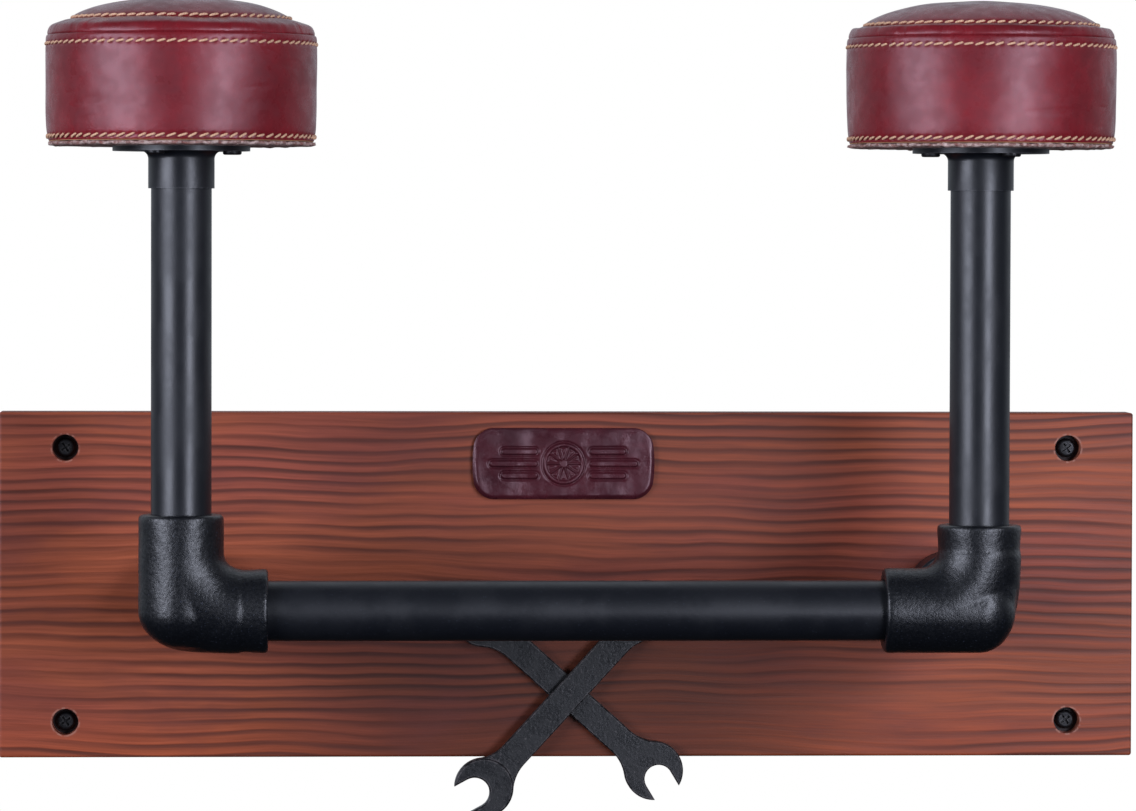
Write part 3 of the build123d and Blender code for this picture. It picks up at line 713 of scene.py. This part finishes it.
# ---------------------------------------------------------------- operators
class RACK_OT_stage(Operator):
    """Sets the camera, the pale floor, the softboxes and the surroundings"""

    bl_idname = "rack.stage"
    bl_label = "Stage"

    def execute(self, context):
        sizes, scene = context.scene.rack_stage, context.scene
        scene.view_settings.view_transform = "Standard"
        bar_low, bar_high = span("crossbar_pipe")
        frame_y = (bar_low[1] + bar_high[1]) / 2 * MM
        target = Vector((-0.0062, frame_y, 0.0865))
        back = Vector((sin(sizes.azimuth) * cos(sizes.elevation),
                       -cos(sizes.azimuth) * cos(sizes.elevation), sin(sizes.elevation)))
        camera = bpy.data.objects.new("Camera", bpy.data.cameras.new("Camera"))
        scene.collection.objects.link(camera)
        camera.data.lens = sizes.lens
        camera.data.sensor_width = SENSOR_WIDTH
        camera.location = target + back * sizes.distance
        facing = (-back).to_track_quat("-Z", "Y") @ Quaternion((0, 0, 1), sizes.roll)
        camera.rotation_euler = facing.to_euler()
        scene.camera = camera

        for name, azimuth, width, share in SOFTBOXES:
            turn = radians(azimuth)
            light = bpy.data.lights.new(name, "AREA")
            light.shape, light.size, light.size_y = "RECTANGLE", width, SOFTBOX_HEIGHT
            light.energy = sizes.softbox_power * share
            light.color = (0.80, 0.84, 1.0)
            lamp = bpy.data.objects.new(name, light)
            scene.collection.objects.link(lamp)
            place = Vector((sin(turn), -cos(turn), 0.0)) * SOFTBOX_DISTANCE + Vector((0, 0, 0.35))
            lamp.location = place
            lamp.rotation_euler = (Vector((0, 0, 0.08)) - place).to_track_quat("-Z", "Z").to_euler()

        self.surroundings(scene)

        disc = np.stack([np.linspace(0, 1900, 24), np.full(24, -620.0)], axis=1)
        floor = object_from("floor", turned("floor", disc[::-1], (0.0, 0.0), 96))
        pale, tree, shader, where = new_material("Pale floor", roughness=0.9)
        tone = mottled(tree, where, 3.0, 0.3, 0.7)
        join(tree, shader, base_color=blend(tree, tone, shade(240, 234, 222), shade(236, 229, 216)))
        floor.data.materials.append(pale)
        floor.visible_diffuse = floor.visible_glossy = False
        return {"FINISHED"}

    def surroundings(self, scene):
        """White for the camera; for light, a bright backdrop behind the rack that falls off to a dim room."""
        world = bpy.data.worlds.new("Studio")
        scene.world = world
        world.use_nodes = True
        tree = world.node_tree
        tree.nodes.clear()
        _, y, z = split(tree, add(tree, "TexCoord").outputs["Generated"])
        behind = between(tree, y, 0.05, 0.55)
        below = between(tree, z, -0.22, 0.10, 0.02, 1.0)
        above = between(tree, z, 0.20, 0.75, 1.0, 0.45)
        room = times(tree, times(tree, below, above),
                    between(tree, y, -0.85, 0.10, 0.25, 0.20))
        light = add(tree, "Mix", {0: behind, 2: room, 3: times(tree, below, 0.68)},
                    data_type="FLOAT").outputs[0]
        seen = add(tree, "Background", {"Color": (1, 1, 1, 1), "Strength": 1.0})
        felt = add(tree, "Background", {"Color": (0.82, 0.89, 1.0, 1), "Strength": light})
        ray = add(tree, "LightPath").outputs["Is Camera Ray"]
        both = add(tree, "MixShader", {0: ray, 1: felt.outputs[0], 2: seen.outputs[0]})
        add(tree, "OutputWorld", {"Surface": both.outputs[0]})


class RACK_OT_board(Operator):
    """Stains the timber board"""

    bl_idname = "rack.board"
    bl_label = "Timber Board"

    def execute(self, context):
        scene = context.scene
        paint_nodes(make_timber(scene.rack_colours, scene.rack_fixings.wall_screw_head), "back_board")
        return {"FINISHED"}


class RACK_OT_pipes(Operator):
    """Paints the pipes, the stand-off sockets and the pad flanges"""

    bl_idname = "rack.pipes"
    bl_label = "Pipes and Flanges"

    def execute(self, context):
        colours = context.scene.rack_colours
        paint = make_paint("Satin black paint", colours.paint, 0.38, 0.00004)
        paint_nodes(paint, "crossbar_pipe", *(
            f"{side}_{part}" for side in SIDES
            for part in ("upright_pipe", "standoff_pipe", "standoff_socket", "pad_flange")))
        return {"FINISHED"}


class RACK_OT_elbows(Operator):
    """Casts the two side-outlet elbows with their uneven skin"""

    bl_idname = "rack.elbows"
    bl_label = "Cast Elbows"

    def execute(self, context):
        sizes = context.scene.rack_castings
        iron = make_iron(context.scene.rack_colours)
        for seed, side in enumerate(SIDES):
            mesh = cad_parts[f"{side}_elbow"].data.copy()
            mesh.materials.clear()
            close(mesh)
            made = object_from(f"{side}_cast_elbow", mesh)
            skin = made.modifiers.new("Skin", "REMESH")
            skin.mode, skin.voxel_size = "VOXEL", sizes.grain
            soft = made.modifiers.new("Soften", "SMOOTH")
            soft.factor, soft.iterations = 0.5, CASTING_SMOOTHING
            mesh = applied(made)
            if len(mesh.polygons) < 1000:
                raise RuntimeError(f"the {side} elbow's skin came out empty")
            at, out = places(mesh), directions(mesh)
            rise = sizes.lumps / MM * (unevenness(at, 16.0, seed) + 0.30 * unevenness(at, 5.0, seed + 7))
            rise += 0.022 * unevenness(at, 1.9, seed + 20)
            put(mesh, at + out * rise[:, None])
            smooth(mesh)
            finish_piece(made, iron, "black_cast_iron", f"{side}_elbow")
        return {"FINISHED"}


class RACK_OT_pads(Operator):
    """Upholsters the two pads: a stitched band, a stuffed crown and a cut leather bottom"""

    bl_idname = "rack.pads"
    bl_label = "Leather Pads"

    def execute(self, context):
        sizes, colours = context.scene.rack_pads, context.scene.rack_colours
        leather = make_leather("Burgundy leather", colours.leather, colours.leather_shade, 0.30, 1100.0)
        raw, thread = make_raw_leather(colours), make_thread(colours)
        plywood = make_plywood()
        for seed, side in enumerate(SIDES):
            paint_nodes(plywood, f"{side}_pad_base")
            self.band(side, seed, sizes, leather)
            self.crown(side, seed, sizes, leather, context.scene)
            self.bottom(side, seed, raw)
            self.stitches(side, seed, sizes, thread)
        return {"FINISHED"}

    @staticmethod
    def axis(side):
        """The pad's upright axis, as (x, y)."""
        low, high = span(f"{side}_pad_band")
        return (low[:2] + high[:2]) / 2

    @staticmethod
    def heights(side):
        """The pad's bottom, seam and top heights."""
        return span(f"{side}_pad_bottom")[0][2], span(f"{side}_pad_band")[1][2], span(f"{side}_pad_top")[1][2]

    @staticmethod
    def rings(side, sizes):
        """Each stitched ring as (radius, height, lean, count, slant share). The dome is sewn on by hand, so
        its ring isn't the same on both pads."""
        bottom, seam, _ = RACK_OT_pads.heights(side)
        count = round(tau * 59.6 / (sizes.stitch_pitch / MM))
        ring, rise = {"left": (48.4, 11.2), "right": (52.2, 9.4)}[side]
        return (
            (59.35, bottom + 4.1, 0.0, count, 1.0),
            (59.95, seam - 0.5, radians(3), count, 0.75),
            (ring, seam + rise, radians(38), round(tau * ring / 4.7), 0.65),
        )

    def band(self, side, seed, sizes, leather):
        """The side strip as a closed ring: barrel-shaped outside, rounded at both edges, straight inside."""
        axis = self.axis(side)
        bottom, seam, _ = self.heights(side)
        outside = smooth_profile([
            (57.4, bottom + 1.9), (58.2, bottom + 2.0), (58.75, bottom + 2.6), (59.1, bottom + 4.2),
            (59.6, bottom + 9), (60.0, bottom + 20), (60.15, bottom + 34), (60.1, seam - 5),
            (60.05, seam - 0.5), (59.95, seam + 1.4), (59.75, seam + 2.7), (59.3, seam + 3.3), (58.4, seam + 3.3),
            (57.4, seam + 2.6)], 96)
        inside = np.array([(56.8, seam - 2.0), (56.8, bottom + 24), (57.2, bottom + 3.0), (57.4, bottom + 1.9)])
        mesh = turned(f"{side}_band_leather", np.vstack([outside, inside]), axis, 664)
        at = places(mesh)
        away, reach, turn = round_axis(at, axis)
        outer = soft_step(reach, 58.0, 58.8)
        middle = np.sin(pi * np.clip((at[:, 2] - bottom) / (seam - bottom), 0, 1))
        move = 0.16 * middle * unevenness(at, 34.0, seed + 40) + 0.05 * middle * unevenness(at, 11.0, seed + 41)
        # A few short level creases, where the strip was pulled tight
        creased = unevenness(at * (0.25, 0.25, 1.6), 9.0, seed + 42)
        here = unevenness(at, 45.0, seed + 43)
        move -= 0.10 * middle * soft_step(creased, 0.55, 1.1) * soft_step(here, 0.0, 0.6)
        for _, ring_z, _, count, _ in self.rings(side, sizes)[:2]:
            move -= dents(turn, at[:, 2] - ring_z, count, sizes.dent_depth / MM, 1.0)
        at[:, :2] += away / reach[:, None] * (move * outer)[:, None]
        put(mesh, at)
        made = object_from(f"{side}_band_leather", mesh)
        finish_piece(made, leather, "burgundy_leather", f"{side}_pad_band")

    def crown(self, side, seed, sizes, leather, scene):
        """The stuffed top as a closed form: flat underneath, a rolled shoulder, a sewn ring and a low dome."""
        axis = self.axis(side)
        _, seam, top = self.heights(side)
        ring, ring_z, _, count, _ = self.rings(side, sizes)[2]
        under = np.array([(0.0, seam - 3.0), (20.0, seam - 3.0), (40.0, seam - 3.0), (54.0, seam - 2.6)])
        shoulder = smooth_profile([
            (56.8, seam - 1.0), (57.5, seam + 2.0), (58.9, seam + 3.2), (59.2, seam + 4.2), (58.7, seam + 6.0),
            (57.2, seam + 7.9), (0.5 * ring + 28.2, ring_z - 1.5), (ring + 1.2, ring_z - 0.9),
            (ring + 0.4, ring_z - 0.8)], 22)
        dome = smooth_profile([
            (ring + 0.1, ring_z + 0.2), (ring - 0.8, ring_z + 1.0), (0.84 * ring, ring_z + 0.40 * (top - ring_z)),
            (0.66 * ring, ring_z + 0.64 * (top - ring_z)), (0.42 * ring, ring_z + 0.82 * (top - ring_z)),
            (0.19 * ring, ring_z + 0.90 * (top - ring_z)), (0.0, ring_z + 0.92 * (top - ring_z))], 20)
        profile = np.vstack([under, shoulder, dome])
        made = object_from(f"{side}_crown_leather", turned(f"{side}_crown_leather", profile, axis, 166))
        self.stuff(made, axis, seam, (ring, ring_z), sizes, scene)
        rounder = made.modifiers.new("Rounder", "SUBSURF")
        rounder.levels = rounder.render_levels = 2
        mesh = applied(made)
        at = places(mesh)
        _, reach, turn = round_axis(at, axis)
        open_to_air = soft_step(at[:, 2], seam + 2.6, seam + 4.4)
        rim = soft_step(reach, 40.0, 56.0)
        move = 0.22 * unevenness(at, 30.0, seed + 50) + 0.07 * rim * unevenness(at, 9.0, seed + 51)
        # Pulls that run down the shoulder from the sewn ring
        folds = unevenness(np.stack([turn * 62, reach * 0.35, at[:, 2] * 0.35], axis=1), 7.5, seed + 52)
        move -= 0.20 * rim * soft_step(folds, 0.3, 1.2)
        off = np.hypot(reach - ring, at[:, 2] - ring_z)
        move -= dents(turn, off, count, 0.7 * sizes.dent_depth / MM, 0.9)
        put(mesh, at + directions(mesh) * (move * open_to_air)[:, None])
        smooth(mesh)
        finish_piece(made, leather, "burgundy_leather", f"{side}_pad_top", f"{side}_pad_foam")

    def stuff(self, made, axis, seam, sewn, sizes, scene):
        """Blows the crown up as cloth, held along its seams, and keeps each point within the cap. At the
        default pressure the swell stays under 0.1 mm, so the profile and the unevenness shape the crown."""
        ring, ring_z = sewn
        start = places(made.data)
        _, reach, _ = round_axis(start, axis)
        held = (start[:, 2] < seam + 3.8) | (np.hypot(reach - ring, start[:, 2] - ring_z) < 1.3)
        pins = made.vertex_groups.new(name="Sewn")
        pins.add(np.flatnonzero(held).tolist(), 1.0, "REPLACE")
        cloth = made.modifiers.new("Stuffing", "CLOTH")
        how = cloth.settings
        how.quality, how.mass = 6, 0.15
        how.tension_stiffness = how.compression_stiffness = 25.0
        how.shear_stiffness, how.bending_stiffness = 12.0, 1.5
        how.use_pressure, how.uniform_pressure_force = True, sizes.padding_pressure
        how.effector_weights.gravity = 0.0
        how.vertex_group_mass = pins.name
        cloth.point_cache.frame_start, cloth.point_cache.frame_end = 1, STUFFING_FRAMES
        for step in range(1, STUFFING_FRAMES + 1):
            scene.frame_set(step)
        mesh = applied(made)
        scene.frame_set(1)
        made.vertex_groups.clear()
        move = places(mesh) - start
        far = np.linalg.norm(move, axis=1)
        cap = sizes.padding_cap / MM
        put(mesh, start + move * (cap * np.tanh(far / cap) / np.maximum(far, 1e-9))[:, None])
        print(made.name, "swells by at most", round(float(far.max()), 2), "mm")

    def bottom(self, side, seed, raw):
        """The cut disc under the pad: 2 mm thick with a ragged, scalloped rim."""
        axis = self.axis(side)
        low, high = span(f"{side}_pad_bottom")
        rim = np.array([
            (0, low[2]), (20, low[2]), (40, low[2]), (54, low[2]), (57.6, low[2] + 0.1), (58.7, low[2] + 0.35),
            (59.1, low[2] + 0.8), (58.9, low[2] + 1.4), (58.0, high[2] - 0.3), (54, high[2]), (30, high[2]),
            (0, high[2])])
        mesh = turned(f"{side}_bottom_leather", rim, axis, 498)
        at = places(mesh)
        away, reach, turn = round_axis(at, axis)
        edge = soft_step(reach, 55.0, 58.5)
        ragged = (0.20 * np.cos(83 * turn) + 0.55 * unevenness(at, 2.6, seed + 60)
                  + 0.35 * unevenness(at, 8.0, seed + 61))
        at[:, :2] += away / np.maximum(reach, 1e-6)[:, None] * (ragged * edge)[:, None]
        at[:, 2] += 0.30 * edge * unevenness(at, 4.5, seed + 62)
        put(mesh, at)
        made = object_from(f"{side}_bottom_leather", mesh)
        finish_piece(made, raw, "raw_leather", f"{side}_pad_bottom")

    def stitches(self, side, seed, sizes, thread):
        """The three sewn rings as one piece."""
        axis = self.axis(side)
        points, quads, uv, start = [], [], [], 0
        for number, (ring_radius, ring_z, lean, count, share) in enumerate(self.rings(side, sizes)):
            p, q, t = stitch_ring(
                axis, ring_radius, ring_z, lean, count, sizes.stitch_slant * share, sizes.stitch_length / MM,
                sizes.thread_thickness / MM, seed * 10 + number)
            points.append(p)
            quads.append(q + start)
            uv.append(t)
            start += len(p)
        mesh = mesh_from(f"{side}_stitching", np.vstack(points), np.vstack(quads), np.vstack(uv))
        finish_piece(object_from(f"{side}_stitching", mesh), thread, "burgundy_leather")


class RACK_OT_badge(Operator):
    """Presses the leather badge: a rolled edge, a spoked wheel and plain bars"""

    bl_idname = "rack.badge"
    bl_label = "Leather Badge"

    @staticmethod
    def emblem(x, z, sizes):
        """Distance outside the nearest raised shape, negative within one: a spoked wheel between two stacks
        of three bars with round ends."""
        radius, wheel = np.hypot(x, z), sizes.wheel_radius / MM
        rim = np.abs(radius - wheel + 0.9) - 0.9
        hub = radius - 2.1
        spoke_turn = np.abs((np.arctan2(z, x) * sizes.spokes / (tau) + 0.5) % 1 - 0.5)
        spoke = np.maximum(spoke_turn * radius * tau / sizes.spokes - 0.45, radius - wheel + 0.9)
        shapes, half = [rim, hub, spoke], sizes.bar_width / MM / 2
        for bar_z, reach in ((5.6, 27.5), (0.0, 33.0), (-5.6, 27.5)):
            past = np.abs(np.abs(x) - (reach + 13.5) / 2) - (reach - 13.5) / 2
            shapes.append(np.hypot(np.maximum(past, 0), z - bar_z) - half)
        return np.minimum.reduce(shapes)

    def execute(self, context):
        sizes = context.scene.rack_badge
        low, high = span("leather_badge")
        half_width, half_height = (high[0] - low[0]) / 2, (high[2] - low[2]) / 2
        middle_x, middle_z = (high[0] + low[0]) / 2, (high[2] + low[2]) / 2
        thick = high[1] - low[1]

        def inside(x, z):
            """Distance inside the outline, a rounded rectangle whose ends bulge a little."""
            return rounded_slab(x * (1 + 0.05 * (z / half_height) ** 2), z, half_width, half_height, 8.0)

        # Rings from the badge's outline in to a level line at its middle, so the rim and relief are even
        turn = (np.arange(BADGE_COLUMNS) + 0.5) * tau / BADGE_COLUMNS
        far = np.stack([np.cos(turn), np.sin(turn)], axis=1)
        near, wide = np.zeros(BADGE_COLUMNS), np.full(BADGE_COLUMNS, 60.0)
        for _ in range(40):
            mid = (near + wide) / 2
            within = inside(far[:, 0] * mid, far[:, 1] * mid) > 0
            near, wide = np.where(within, mid, near), np.where(within, wide, mid)
        outline = far * near[:, None]
        spine = np.stack([np.clip(outline[:, 0], -(half_width - half_height), half_width - half_height),
                          np.zeros(BADGE_COLUMNS)], axis=1)
        share = np.concatenate([np.linspace(0, 0.9, 74), np.linspace(0.905, 1.0, 16)])[:, None, None]
        flat = spine + share * (outline - spine)
        x, z = flat[..., 0], flat[..., 1]
        inset = inside(x, z)
        front = thick - 1.6 * (1 - soft_step(inset, -1.2, 3.2)) ** 2
        off = self.emblem(x, z, sizes)
        relief = sizes.relief / MM
        front += relief * (1 - soft_step(off, -0.55, 0.05)) - 0.55 * np.exp(-((off - 0.45) / 0.5) ** 2)
        at = np.stack([middle_x + x, 0 * x, middle_z + z], axis=-1).reshape(-1, 3)
        swell = 0.30 * unevenness(at, 17.0, 3) + 0.05 * unevenness(at, 5.0, 4)
        front += (swell.reshape(x.shape) - 0.35 * z / half_height) * soft_step(inset, 0.0, 2.0)
        grid = np.stack([middle_x + x, high[1] - np.clip(front, 0.4, thick + 2 * relief), middle_z + z], axis=-1)
        back = grid[::-1][::10].copy()
        back[..., 1] = high[1]
        grid = np.concatenate([grid, back], axis=0)
        made = object_from("pressed_badge", mesh_over("pressed_badge", grid))
        dark = make_leather("Badge leather", srgb(74, 28, 36), srgb(56, 20, 28), 0.30, 1300.0)
        finish_piece(made, dark, "burgundy_leather", "leather_badge")
        return {"FINISHED"}


class RACK_OT_hardware(Operator):
    """Finishes the spanners, screws, washers and bolts"""

    bl_idname = "rack.hardware"
    bl_label = "Spanners and Fixings"

    def execute(self, context):
        colours, sizes = context.scene.rack_colours, context.scene.rack_fixings
        oxide = make_steel("Black oxide", colours.tool_steel, srgb(104, 98, 98), 0.0, 0.40, 0.85)
        paint_nodes(oxide, "rear_spanner", "front_spanner", "spanner_spacer")
        black = make_steel("Black screw steel", srgb(26, 26, 29), srgb(96, 92, 90), 0.5, 0.45, 0.6)
        paint_nodes(black, "wall_screws", "left_pad_screws", "right_pad_screws", "spanner_screws",
                    "spanner_washers")
        _, high = span("wall_screws")
        across, up = high[[0, 2]] - sizes.wall_screw_head / MM / 2
        centres = [(side * across, 0.0, level * up) for side in (-1, 1) for level in (-1, 1)]
        points, quads = screw_thread(
            centres, sizes.wall_screw_core / MM / 2, 1.0, high[1] - 4.0, high[1] - 1.5, sizes.thread_pitch / MM)
        threads = object_from("wall_screw_threads", mesh_from("wall_screw_threads", points, quads))
        finish_piece(threads, black, "black_screw_steel")
        zinc = make_steel("Zinc plate", srgb(168, 172, 178), srgb(206, 208, 212), 1.0, 0.32, 0.4)
        paint_nodes(zinc, "standoff_bolts", "standoff_washers")
        return {"FINISHED"}


class RACK_PT_panel(Panel):
    bl_label = "Wall Rack"
    bl_idname = "RACK_PT_panel"
    bl_space_type = "VIEW_3D"
    bl_region_type = "UI"
    bl_category = "Wall Rack"

    def draw(self, context):
        for settings in (context.scene.rack_colours, context.scene.rack_pads, context.scene.rack_badge,
                         context.scene.rack_castings, context.scene.rack_fixings, context.scene.rack_stage):
            box = self.layout.box()
            for key in settings.__annotations__:
                box.prop(settings, key)
        for step in OPERATORS:
            self.layout.operator(step.bl_idname)


OPERATORS = (RACK_OT_stage, RACK_OT_board, RACK_OT_pipes, RACK_OT_elbows, RACK_OT_pads, RACK_OT_badge,
             RACK_OT_hardware)
SETTINGS = {"rack_colours": FinishColours, "rack_pads": PadSizes, "rack_badge": BadgeSizes,
            "rack_castings": CastingSizes, "rack_fixings": FixingSizes, "rack_stage": StageSizes}


def register():
    for kind in (*SETTINGS.values(), *OPERATORS, RACK_PT_panel):
        bpy.utils.register_class(kind)
    for name, kind in SETTINGS.items():
        setattr(bpy.types.Scene, name, PointerProperty(type=kind))


def unregister():
    for name in SETTINGS:
        delattr(bpy.types.Scene, name)
    for kind in reversed((*SETTINGS.values(), *OPERATORS, RACK_PT_panel)):
        bpy.utils.unregister_class(kind)


def main():
    register()
    bpy.ops.rack.stage()
    bpy.ops.rack.board()
    bpy.ops.rack.pipes()
    bpy.ops.rack.elbows()
    bpy.ops.rack.pads()
    bpy.ops.rack.badge()
    bpy.ops.rack.hardware()


if __name__ == "__main__":
    main()
